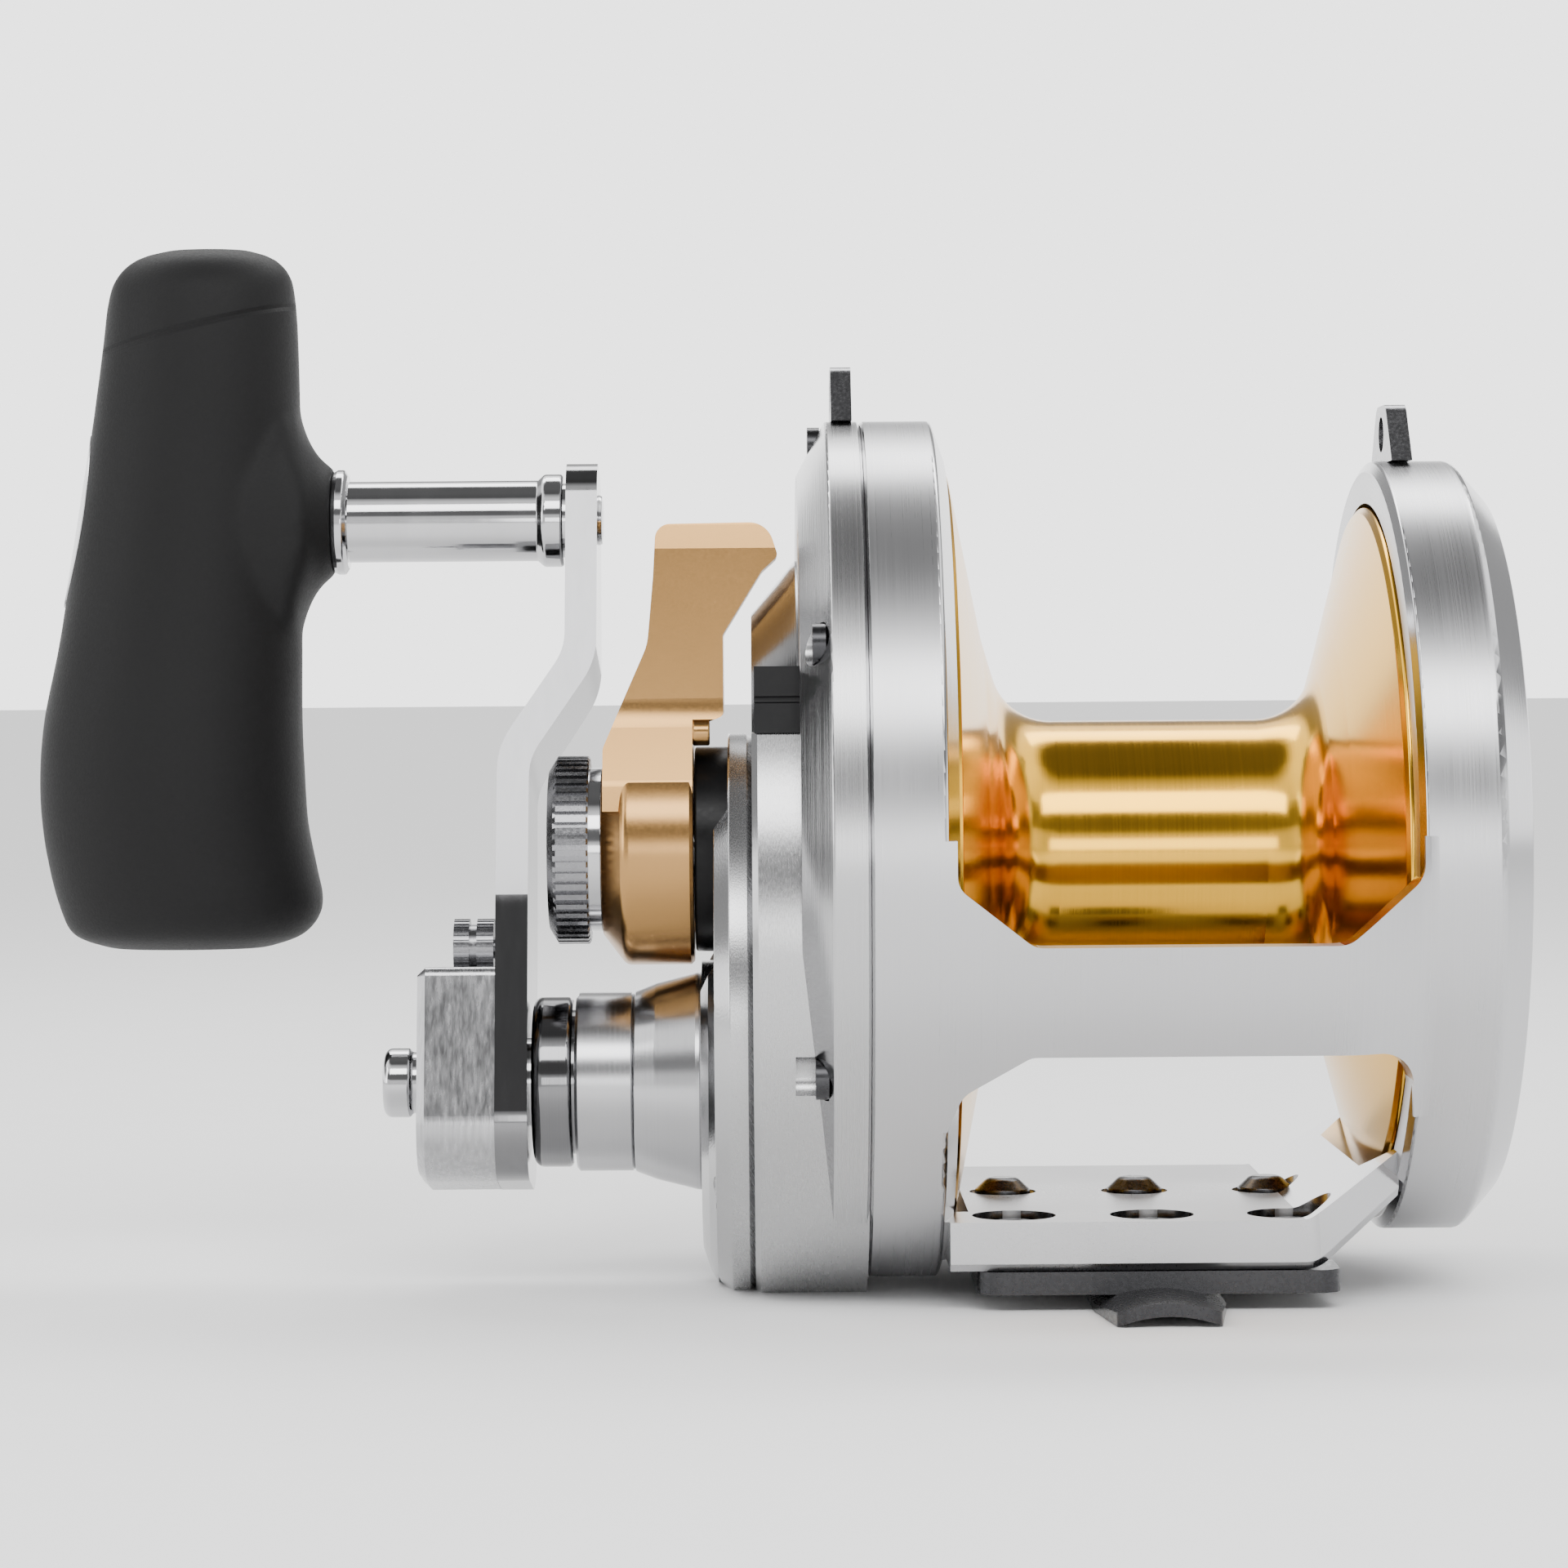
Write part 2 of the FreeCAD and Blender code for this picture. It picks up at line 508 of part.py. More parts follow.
def drive_plate():
    """Plate that the pinion turns; the brake washer is bonded to it."""
    body = turned([(-41.6, CRANK_R + 0.0, 0), (-41.6, 12.0, 0), (-40.6, 13.0, 0), (-40.6, 41.2, 0.6),
                   (-38.8, 41.2, 0), (-38.8, CRANK_R, 0)])
    return body.cut(fuse(ring_of(lambda y, z: rod(-42, -38, 1.6, y, z), 8, 16.0)))


def brake_washer():
    return tube(-38.8, -37.4, 41.0, 21.0)


def belleville_springs():
    """Four cupped spring washers on the spindle, stacked in two opposed pairs."""
    stack = []
    for i in range(4):
        x = -41.0 + 1.1 * i
        rim, eye = (0.0, 0.5) if i % 2 == 0 else (0.5, 0.0)
        stack.append(turned([(x + eye, SPINDLE_R + 0.1, 0), (x + rim, 5.8, 0), (x + rim + 0.45, 5.8, 0),
                             (x + eye + 0.45, SPINDLE_R + 0.1, 0)]))
    return Part.makeCompound(stack)


# ---- gears --------------------------------------------------------------------------------------------------
GEAR_DEPTHS = {"high": (-51.0, -46.4), "low": (-57.0, -52.2)}


def pinion():
    """Both pinions on one sleeve that runs on the spindle."""
    gap_angle = -90.0
    high = involute_gear(HIGH_PINION, *GEAR_DEPTHS["high"], SPINDLE_R + 0.3, 0, 0, gap_angle + 180.0 / HIGH_PINION)
    low = involute_gear(LOW_PINION, *GEAR_DEPTHS["low"], SPINDLE_R + 0.3, 0, 0, gap_angle + 180.0 / LOW_PINION)
    sleeve = tube(-61.9, -38.8, 6.0, SPINDLE_R + 0.3)
    neck = tube(-52.3, -50.9, 7.0, SPINDLE_R + 0.3)
    hub = tube(-46.5, -38.8, CRANK_R, 6.0 - 0.1)
    body = fuse([sleeve, high, low, neck, hub])
    return body.cut(rod(-41.8, -36.0, 6.0))


def pinion_bearing():
    return ball_bearing(-61.9, -58.2, 8.98, 6.0 + RUN)


def high_gear():
    body = involute_gear(HIGH_GEAR, *GEAR_DEPTHS["high"], CRANK_R, 0, CRANK_Z, 90.0)
    web = tube(-52.0, -49.8, 21.5, 9.5, z=CRANK_Z).fuse(tube(-47.4, -46.0, 21.5, 9.5, z=CRANK_Z))
    holes = fuse(ring_of(lambda y, z: rod(-52, -46, 3.4, y, z), 6, 15.5, z=CRANK_Z))
    return body.cut(web).cut(holes)


def low_gear():
    body = involute_gear(LOW_GEAR, *GEAR_DEPTHS["low"], CRANK_R + RUN, 0, CRANK_Z, 90.0)
    return body.cut(tube(-58.0, -56.0, 16.0, 9.5, z=CRANK_Z))


RATCHET_TEETH = 12
RATCHET_TIP, RATCHET_ROOT = 14.0, 12.0


def ratchet_wheel():
    """Saw-toothed wheel of the anti-reverse."""
    step = 360.0 / RATCHET_TEETH
    points = []
    for i in range(RATCHET_TEETH):
        points.append(polar(RATCHET_ROOT, i * step, z=CRANK_Z))
        points.append(polar(RATCHET_TIP, i * step + 1.0, z=CRANK_Z))
        points.append(polar(RATCHET_TIP, i * step + 5.0, z=CRANK_Z))
    return polygon_x(points, -61.4, -58.8).cut(rod(-63, -57, CRANK_R, z=CRANK_Z))


PAWL_REACH = 18.0
PAWL_SIDES = (-1, 1)


def pawl_pivot(side):
    """(y, z) of a pawl's pin: one each side of the crank."""
    return side * 17.6, CRANK_Z - 6.0


def pawl(side):
    """Anti-reverse pawl: an eye round its pin and a nose that points at the ratchet."""
    y, z = pawl_pivot(side)
    nose_y, nose_z = side * 14.4, CRANK_Z + 4.6
    body = polygon_x([(y - side * 2.2, z), (nose_y - side * 0.2, nose_z), (nose_y + side * 1.9, nose_z + 1.6),
                      (y + side * 2.6, z)], -61.2, -59.0)
    body = body.fuse(rod(-61.2, -59.0, 3.0, y, z))
    clear = rod(-62.0, -58.0, RATCHET_TIP + 0.35, z=CRANK_Z)
    return body.cut(clear).cut(rod(-62.0, -58.0, 1.5 + RUN, y, z))


def pawl_pins():
    return Part.makeCompound([rod(-62.0, -58.6, 1.5, *pawl_pivot(side)) for side in PAWL_SIDES])


# ---- crank and handle ---------------------------------------------------------------------------------------
SHIFT_BORE = 2.5
BLOCK_OUT_X = -107.6
BUTTON_R = 5.1
RELEASE_Z = CRANK_Z + 19.9


def crank_shaft():
    body = fuse([rod(-99.0, -46.0, CRANK_R, z=CRANK_Z), rod(-46.1, -42.4, 4.6, z=CRANK_Z)])
    body = body.cut(rod(-100.0, -49.0, SHIFT_BORE + RUN, z=CRANK_Z))
    return body


def crank_bearings():
    return Part.makeCompound([ball_bearing(-75.6, -70.5, 10.99, CRANK_R + RUN, z=CRANK_Z),
                              ball_bearing(-46.0, -42.5, 7.99, 4.6 + RUN, z=CRANK_Z)])


def arm_outline(bottom, top, half_low, half_top):
    """The arm's face, tapering from its foot to its tip."""
    return [(-half_low, bottom, 9.0), (half_low, bottom, 9.0), (half_low, CRANK_Z + 24.0, 30.0),
            (half_top, top, 6.6), (-half_top, top, 6.6), (-half_low, CRANK_Z + 24.0, 30.0)]


def handle_arm():
    top = CRANK_Z + ARM_LENGTH + 8.0
    step_low, step_high = CRANK_Z + 46.5, CRANK_Z + 61.5
    side = prism_y([(ARM_OUT_X, -60.0, 0), (ARM_IN_X, -60.0, 0), (ARM_IN_X, step_low - 0.6, 9.0),
                    (ARM_IN_X + ARM_STEP, step_high - 0.6, 12.0), (ARM_IN_X + ARM_STEP, 70.0, 0),
                    (ARM_OUT_X + ARM_STEP, 70.0, 0), (ARM_OUT_X + ARM_STEP, step_high + 1.2, 9.0),
                    (ARM_OUT_X, step_low + 1.2, 12.0)], -25.0, 25.0)
    face = prism_x(arm_outline(CRANK_Z - 15.2, top, 14.6, 8.2), -110.0, -70.0)
    body = side.common(face)
    body = body.cut(rod(-98.0, -90.0, CRANK_R, z=CRANK_Z))
    body = body.cut(rod(-90.0, -80.0, 3.0, z=CRANK_Z + ARM_LENGTH))
    for y, z in HOUSING_SCREW_SPOTS:
        body = body.cut(rod(-98.0, -95.0, 1.3, y, z))
    return body.cut(rod(-98.0, -94.0, 1.6, z=RELEASE_Z))


def arm_collar():
    """Polished collar between the arm and the bearing cap."""
    return turned([(-91.15, CRANK_R, 0), (-91.15, 12.5, 1.6), (-85.3, 12.5, 0.8), (-85.3, 10.6, 0),
                   (-84.95, 10.6, 0), (-84.95, CRANK_R, 0)], z=CRANK_Z)


def shift_housing():
    """Machined block outside the arm that holds the two-speed shifter."""
    face = prism_x([(-13.4, CRANK_Z - 15.2, 8.5), (13.4, CRANK_Z - 15.2, 8.5), (13.4, CRANK_Z + 15.2, 1.5),
                    (-13.4, CRANK_Z + 15.2, 1.5)], BLOCK_OUT_X, ARM_OUT_X - 0.05)
    outer = edges_where(face, lambda e: e.BoundBox.XLength < 0.01 and abs(e.BoundBox.XMin - BLOCK_OUT_X) < 0.01)
    body = face.makeChamfer(1.2, outer)
    body = body.cut(rod(-99.05, -95.0, CRANK_R, z=CRANK_Z))
    body = body.cut(rod(-110.0, -98.0, SHIFT_BORE + RUN, z=CRANK_Z))
    body = body.cut(rod(-110.0, BLOCK_OUT_X + 4.2, BUTTON_R + 0.15, z=CRANK_Z))
    for y, z in HOUSING_SCREW_SPOTS:
        body = body.cut(rod(-110.0, BLOCK_OUT_X + 3.0, 2.4, y, z)).cut(rod(-110.0, -95.0, 1.3, y, z))
    return body


HOUSING_SCREW_SPOTS = [(side * 9.4, CRANK_Z + rise) for side in (-1, 1) for rise in (-5.0, 10.6)]


def housing_screws():
    return Part.makeCompound([socket_screw(BLOCK_OUT_X + 0.6, 11.9, 2.2, 2.2, 1.25, y, z)
                              for y, z in HOUSING_SCREW_SPOTS])


def shift_button():
    """Push button that drops the crank into low gear, on a rod down the hollow shaft."""
    head = turned([(-113.2, 0, 0), (-113.2, BUTTON_R, 1.3), (-109.4, BUTTON_R, 0.4), (-108.9, 4.5, 0.4),
                   (-107.2, 4.5, 0), (-107.2, 0, 0)], z=CRANK_Z)
    return head.fuse(rod(-107.3, -106.0, SHIFT_BORE, z=CRANK_Z))


def shift_rod():
    return rod(-106.0, -53.5, SHIFT_BORE, z=CRANK_Z)


def release_knob():
    """Twin-rimmed knurled knob that lets the shifter spring back to high gear."""
    rims = [toothed_disc(36, 4.35, 4.1, x0, x1, 0.5, z=RELEASE_Z) for x0, x1 in ((-103.0, -100.7), (-99.6, -97.1))]
    waist = rod(-100.8, -99.5, 3.5, z=RELEASE_Z)
    stem = rod(-97.1, -94.4, 1.55, z=RELEASE_Z)
    return fuse(rims + [waist, stem])


def post_z():
    return CRANK_Z + ARM_LENGTH


def grip_post():
    """Polished stem riveted to the arm, which the grip turns on."""
    outer_face = ARM_OUT_X + ARM_STEP
    body = turned([(outer_face - 0.05, 0, 0), (outer_face - 0.05, 5.6, 0), (outer_face - 0.6, 5.6, 0),
                   (outer_face - 0.6, 7.0, 0.5), (-89.9, 7.0, 0.9), (-90.9, POST_R, 0.3), (-119.3, POST_R, 0),
                   (-119.3, 4.0, 0), (-150.0, 4.0, 0), (-150.0, 0, 0)], z=post_z())
    return body.fuse(rod(outer_face - 0.1, ARM_IN_X + ARM_STEP, 2.98, z=post_z()))


def post_rivet():
    """Domed rivet head on the arm's inner face."""
    x = ARM_IN_X + ARM_STEP
    return turned([(x + 0.02, 0, 0), (x + 0.02, 3.8, 0), (x + 0.5, 3.6, 0.2), (x + 0.7, 2.4, 0), (x + 0.7, 0, 0)],
                  z=post_z())


# Each station of the grip: height above its post, outer and inner edge along X, and half its depth along Y.
GRIP_STATIONS = [(-64.2, -154.0, -134.0, 7.0), (-62.3, -160.5, -128.0, 12.4), (-58.5, -163.0, -124.9, 14.6),
                 (-54.8, -164.4, -124.4, 15.6), (-47.4, -166.2, -126.0, 16.4), (-40.0, -166.5, -127.1, 16.4),
                 (-32.6, -165.9, -127.4, 15.8), (-17.8, -163.3, -127.3, 14.8), (-3.0, -160.7, -127.2, 14.0),
                 (11.8, -158.3, -127.2, 13.4), (26.6, -156.2, -127.4, 12.8), (34.0, -155.1, -127.9, 12.0),
                 (37.8, -153.3, -128.6, 10.8), (40.0, -150.5, -131.0, 8.6), (41.2, -146.5, -135.5, 5.0)]


def grip_core():
    wires = []
    for rise, outer, inner, depth in GRIP_STATIONS:
        centre = Vector((inner + outer) / 2, 0, post_z() + rise)
        ellipse = Part.Ellipse(centre + Vector((inner - outer) / 2, 0, 0), centre + Vector(0, depth, 0), centre)
        wires.append(Part.Wire(ellipse.toShape()))
    return Part.makeLoft(wires, True, False)


BADGE = (13.2, 5.4)


def badge_prism():
    """Oval column through the outer face of the grip."""
    centre = Vector(-175.0, 0, post_z() + 0.6)
    oval = Part.Ellipse(centre + Vector(0, 0, BADGE[0]), centre + Vector(0, BADGE[1], 0), centre)
    return Part.Face(Part.Wire(oval.toShape())).extrude(Vector(25.0, 0, 0))


def shifted(shape, x):
    moved = shape.copy()
    moved.translate(Vector(x, 0, 0))
    return moved


def grip():
    core = grip_core()
    neck = turned([(-121.7, 0, 0), (-121.7, 8.1, 0), (-124.6, 10.2, 3.0), (-128.6, 16.4, 4.0), (-140.0, 16.0, 0),
                   (-140.0, 0, 0)], z=post_z())
    neck = neck.common(Part.makeBox(30, 27.0, 60, Vector(-145.0, -13.5, post_z() - 30)))
    body = core.fuse(neck)
    body = body.cut(badge_prism().cut(shifted(core, 0.9)))
    body = body.cut(rod(-152.0, -120.0, 4.0 + 2.2, z=post_z()))
    return body


def grip_badge():
    core = grip_core()
    return badge_prism().common(shifted(core, -0.25)).cut(shifted(core, 0.9))


def grip_bushes():
    """Two bushes that the grip turns on."""
    return Part.makeCompound([tube(-151.0, -143.0, 6.2, 4.0 + RUN, z=post_z()),
                              tube(-130.0, -122.0, 6.2, 4.0 + RUN, z=post_z())])


def grip_ferrule():
    """Polished ring at the mouth of the grip."""
    return turned([(-121.6, 4.0 + RUN, 0), (-121.6, 7.6, 0), (-121.0, 7.9, 0.2), (-120.0, 7.9, 0.4),
                   (-119.45, 7.0, 0.3), (-119.45, 4.0 + RUN, 0)], z=post_z())


# ---- drag controls ------------------------------------------------------------------------------------------
LEVER_HUB = (-80.8, -67.4, 16.9)
DETENT = (-9.0, 17.2)


def drag_lever():
    """Lever with its cam hub; the blade stands over the side plate."""
    x0, x1, r = LEVER_HUB
    hub = turned([(x0, 0, 0), (x0, 12.4, 0.8), (x0 + 3.4, r, 1.6), (x1 - 0.5, r, 0), (x1, r - 0.5, 0), (x1, 0, 0)])
    side = prism_y([(-80.4, 6.0, 0), (-80.4, 15.0, 2.0), (-77.6, 21.6, 8.0), (-73.9, 30.0, 8.0), (-73.0, 40.0, 8.0),
                    (-72.6, 47.6, 2.2), (-56.4, 47.8, 3.6), (-54.8, 42.8, 1.0), (-57.2, 40.6, 0.8),
                    (-62.9, 31.4, 1.2), (-62.9, 19.6, 1.0), (-67.4, 17.8, 0), (-67.4, 6.0, 0)], -20.0, 20.0)
    front = prism_x([(-16.0, 2.0, 0), (-13.6, 10.0, 6.0), (-8.8, 20.0, 12.0), (-6.8, 44.0, 0), (-5.2, 50.0, 3.5),
                     (5.2, 50.0, 3.5), (6.8, 44.0, 0), (8.8, 20.0, 12.0), (13.6, 10.0, 6.0), (16.0, 2.0, 0)],
                    -90.0, -50.0)
    blade = side.common(front)
    body = hub.fuse(blade)
    body = body.cut(rod(x0 - 1, x1 + 1, SPINDLE_R + 0.1))
    body = body.cut(rod(x0 - 1, x0 + 3.0, 9.0))
    body = body.cut(rod(x1, -60.0, 1.92, *DETENT))
    return body.cut(rod(x1 - 4.0, x1 + 1, 12.42))


def lever_detent():
    """Short pin beside the blade that clicks over the cam ring's notches."""
    x = LEVER_HUB[1] + 0.01
    return turned([(x, 0, 0), (x, 1.9, 0.3), (-64.9, 1.9, 0.3), (-64.9, 0, 0)], *DETENT)


def cam_ring():
    """Black ring that the lever clicks round."""
    body = turned([(-67.2, SPINDLE_R + 0.3, 0), (-67.2, 15.0, 0.4), (LEVER_RECESS_X - 0.02, 15.0, 0),
                   (LEVER_RECESS_X - 0.02, SPINDLE_R + 0.3, 0)])
    return body


def lever_cam():
    """Steel cam inside the lever's hub that pulls the spindle."""
    return tube(-71.3, -67.5, 12.4, SPINDLE_R + 0.1)


def preset_knob():
    """Knurled knob that sets how hard the brake bites."""
    knurled = toothed_disc(52, 13.8, 13.1, -88.6, -82.6, 0.5)
    trimmed = turned([(-88.6, 0, 0), (-88.6, 11.6, 0.4), (-87.2, 13.9, 0), (-82.9, 13.9, 0), (-82.6, 13.4, 0),
                      (-82.6, 0, 0)])
    body = knurled.common(trimmed)
    body = body.cut(rod(-90.0, -88.1, 9.0)).fuse(rod(-88.2, -87.8, 5.0))
    return body.cut(rod(-87.7, -80.0, SPINDLE_R + RUN))


def preset_collar():
    """Plain steel collar under the knob."""
    return tube(-82.6, -78.0, 8.8, SPINDLE_R + RUN).fuse(tube(-82.6, -80.9, 12.0, SPINDLE_R + RUN))


# ---- lugs and foot ------------------------------------------------------------------------------------------
LUG_THICK = 3.0
LUG_EYE_R = 2.6


def harness_lug(x, ring_r, rise):
    """Eyed lug standing on a ring, on a stub that presses into the rim."""
    top = ring_r + rise
    eye_z = top - 4.2
    outline = [(-11.0, ring_r - 0.3, 0), (11.0, ring_r - 0.3, 0), (4.6, top, 3.4), (-4.6, top, 3.4)]
    body = prism_x(outline, x - LUG_THICK / 2, x + LUG_THICK / 2)
    body = body.cut(rod(x - 3, x + 3, ring_r + 0.02))
    body = body.fuse(Part.makeCylinder(1.58, 2.0, Vector(x, 0, ring_r - 1.8)))
    return body.cut(rod(x - 3, x + 3, LUG_EYE_R, 0, eye_z))


DRIVE_LUG_RISE, PALM_LUG_RISE = 7.9, 8.2
SEAT_Z = -AXIS_HEIGHT
TOE_REACH = 52.0
SADDLE_R = 19.0


def reel_foot():
    """Steel foot: a plate under the frame with two toes, arched to sit on a round rod seat."""
    x0, x1, half = -27.9, 22.8, 36.0
    plate = prism_z([(x0, -half, 3.0), (x1, -half, 3.0), (x1, half, 3.0), (x0, half, 3.0)],
                    SEAT_Z + 0.9, FOOT_BOTTOM_Z - 0.1)
    root, tip = 9.2, 7.05
    toes = prism_z([(FOOT_X - root, -half, 2.0), (FOOT_X - tip, -TOE_REACH, 1.5), (FOOT_X + tip, -TOE_REACH, 1.5),
                    (FOOT_X + root, -half, 2.0), (FOOT_X + root, half, 2.0), (FOOT_X + tip, TOE_REACH, 1.5),
                    (FOOT_X - tip, TOE_REACH, 1.5), (FOOT_X - root, half, 2.0)], SEAT_Z - 1.4, SEAT_Z + 1.8)
    crown = Part.makeCylinder(SADDLE_R + 1.8, 120.0, Vector(FOOT_X, -60.0, SEAT_Z - SADDLE_R), Vector(0, 1, 0))
    body = fuse([plate, toes.common(crown)])
    body = body.cut(Part.makeCylinder(SADDLE_R, 120.0, Vector(FOOT_X, -60.0, SEAT_Z - SADDLE_R), Vector(0, 1, 0)))
    for x in FOOT_COLUMNS:
        body = body.cut(Part.makeCylinder(FOOT_BOLT_R, 12, Vector(x, BOLT_Y, -68)))
        body = body.cut(Part.makeCylinder(2.0, 12, Vector(x, CLAMP_Y, -68)))
    return body


def foot_bolts():
    """Three dome-headed bolts through the frame into the foot."""
    bolts = []
    for x in FOOT_COLUMNS:
        dome = turned([(0, 0, 0), (0, 4.05, 0), (0.9, 4.05, 0.3), (2.6, 2.2, 1.5), (2.6, 0, 0)])
        dome.rotate(Vector(0, 0, 0), Vector(0, 1, 0), -90)
        dome.translate(Vector(x, BOLT_Y, FOOT_TOP_Z - 0.5))
        bolts.append(dome.fuse(Part.makeCylinder(FOOT_BOLT_R - 0.02, 9.5, Vector(x, BOLT_Y, FOOT_TOP_Z - 9.6))))
    return Part.makeCompound(bolts)


def clamp_screws():
    """Three cheese-head screws sunk into the foot plate's front edge."""
    screws = []
    for x in FOOT_COLUMNS:
        head = Part.makeCylinder(CLAMP_HEAD_R, 2.6, Vector(x, CLAMP_Y, FOOT_TOP_Z - 3.4))
        head = head.makeChamfer(0.4, edges_where(head, lambda e: e.BoundBox.ZMin > FOOT_TOP_Z - 0.9))
        hexagon = [(x + 1.7 * math.cos(math.radians(60 * i)), CLAMP_Y + 1.7 * math.sin(math.radians(60 * i)), 0)
                   for i in range(6)]
        head = head.cut(prism_z(hexagon, FOOT_TOP_Z - 2.4, FOOT_TOP_Z))
        screws.append(head.fuse(Part.makeCylinder(1.98, 6.8, Vector(x, CLAMP_Y, FOOT_TOP_Z - 10.1))))
    return Part.makeCompound(screws)


# ---- assembly -----------------------------------------------------------------------------------------------
def leaned(make):
    """A crank piece, stood back by the handle's lean at rest."""
    return lambda: turn_about(make(), -HANDLE_LEAN, 0, CRANK_Z)


def lug_maker(x, ring_r, rise):
    return lambda: harness_lug(x, ring_r, rise)


PIECES = {
    "frame": frame, "gear_side_plate": gear_side_plate, "gear_bridge": gear_bridge, "gear_cover": gear_cover,
    "lever_stop": lever_stop, "crank_housing": crank_housing, "bearing_cap": bearing_cap, "shaft_seal": shaft_seal,
    "side_plate_screws": side_plate_screws, "cover_screws": cover_screws, "palm_side_plate": palm_side_plate,
    "palm_screws": palm_screws, "spindle_cap": spindle_cap, "click_button": click_button,
    "click_tongue": click_tongue, "click_wheel": click_wheel, "spool": spool, "spool_bearings": spool_bearings,
    "brake_disc": brake_disc, "spindle": spindle, "drive_plate": drive_plate, "brake_washer": brake_washer,
    "belleville_springs": belleville_springs, "pinion": pinion, "pinion_bearing": pinion_bearing,
    "low_gear": low_gear, "pawl_pins": pawl_pins, "crank_bearings": crank_bearings,
    "crank_shaft": leaned(crank_shaft), "high_gear": high_gear, "ratchet_wheel": ratchet_wheel,
    "handle_arm": leaned(handle_arm), "arm_collar": leaned(arm_collar), "shift_housing": leaned(shift_housing),
    "housing_screws": leaned(housing_screws), "shift_button": leaned(shift_button), "shift_rod": leaned(shift_rod),
    "release_knob": leaned(release_knob), "grip_post": leaned(grip_post), "post_rivet": leaned(post_rivet),
    "drag_lever": drag_lever, "lever_detent": lever_detent, "cam_ring": cam_ring, "lever_cam": lever_cam,
    "preset_knob": preset_knob, "preset_collar": preset_collar,
    "harness_lug_drive": lug_maker(DRIVE_LUG_X, DRIVE_RING_R, DRIVE_LUG_RISE),
    "harness_lug_palm": lug_maker(PALM_LUG_X, PALM_RING_R, PALM_LUG_RISE),
    "reel_foot": reel_foot, "foot_bolts": foot_bolts, "clamp_screws": clamp_screws,
    "pawl_front": lambda: pawl(-1), "pawl_rear": lambda: pawl(1),
}


def upright_grip(make):
    """A grip piece carried to the leaned post but left upright, as a hand leaves it."""
    lean = math.radians(HANDLE_LEAN)
    def made():
        shape = make()
        shape.translate(Vector(0, ARM_LENGTH * math.sin(lean), ARM_LENGTH * (math.cos(lean) - 1)))
        return shape
    return made


for grip_name, grip_make in (("grip", grip), ("grip_badge", grip_badge), ("grip_bushes", grip_bushes),
                             ("grip_ferrule", grip_ferrule)):
    PIECES[grip_name] = upright_grip(grip_make)


def save(name, shape):
    """Moves a piece from the spool's frame into the part's frame and writes its STEP file."""
    shape = shape.copy()
    shape.translate(Vector(-FOOT_X, 0, AXIS_HEIGHT))
    solids = shape.Solids
    if not solids or not shape.isValid():
        print("problem:", name, len(solids), "solids, valid", shape.isValid())
    shape.exportStep(os.path.join(PARTS_FOLDER, name + ".step"))


def main():
    os.makedirs(PARTS_FOLDER, exist_ok=True)
    for name, make in PIECES.items():
        save(name, make())


main()
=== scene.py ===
"""Studio view of the two-speed trolling reel: procedural metals and rubber laid over the CAD frame."""
import json
import math

import bpy
from mathutils import Matrix, Vector


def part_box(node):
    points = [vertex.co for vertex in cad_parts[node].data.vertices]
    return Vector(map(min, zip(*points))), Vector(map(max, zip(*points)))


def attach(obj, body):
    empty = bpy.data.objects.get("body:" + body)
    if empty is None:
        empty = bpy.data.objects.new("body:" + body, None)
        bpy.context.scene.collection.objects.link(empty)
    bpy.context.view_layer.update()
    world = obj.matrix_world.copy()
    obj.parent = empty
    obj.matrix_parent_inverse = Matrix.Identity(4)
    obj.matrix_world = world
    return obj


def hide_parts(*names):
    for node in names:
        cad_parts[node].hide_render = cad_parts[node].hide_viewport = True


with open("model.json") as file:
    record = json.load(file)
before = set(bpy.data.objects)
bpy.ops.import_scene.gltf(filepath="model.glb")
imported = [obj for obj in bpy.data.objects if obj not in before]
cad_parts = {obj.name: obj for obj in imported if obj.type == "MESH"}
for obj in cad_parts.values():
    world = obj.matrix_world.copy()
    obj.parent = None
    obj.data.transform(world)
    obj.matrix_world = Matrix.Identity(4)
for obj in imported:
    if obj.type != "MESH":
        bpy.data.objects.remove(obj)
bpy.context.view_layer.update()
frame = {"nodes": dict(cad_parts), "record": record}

MM = 0.001
SPOOL_AXIS_Z = 62.0 * MM
CRANK_AXIS_Z = 28.0 * MM


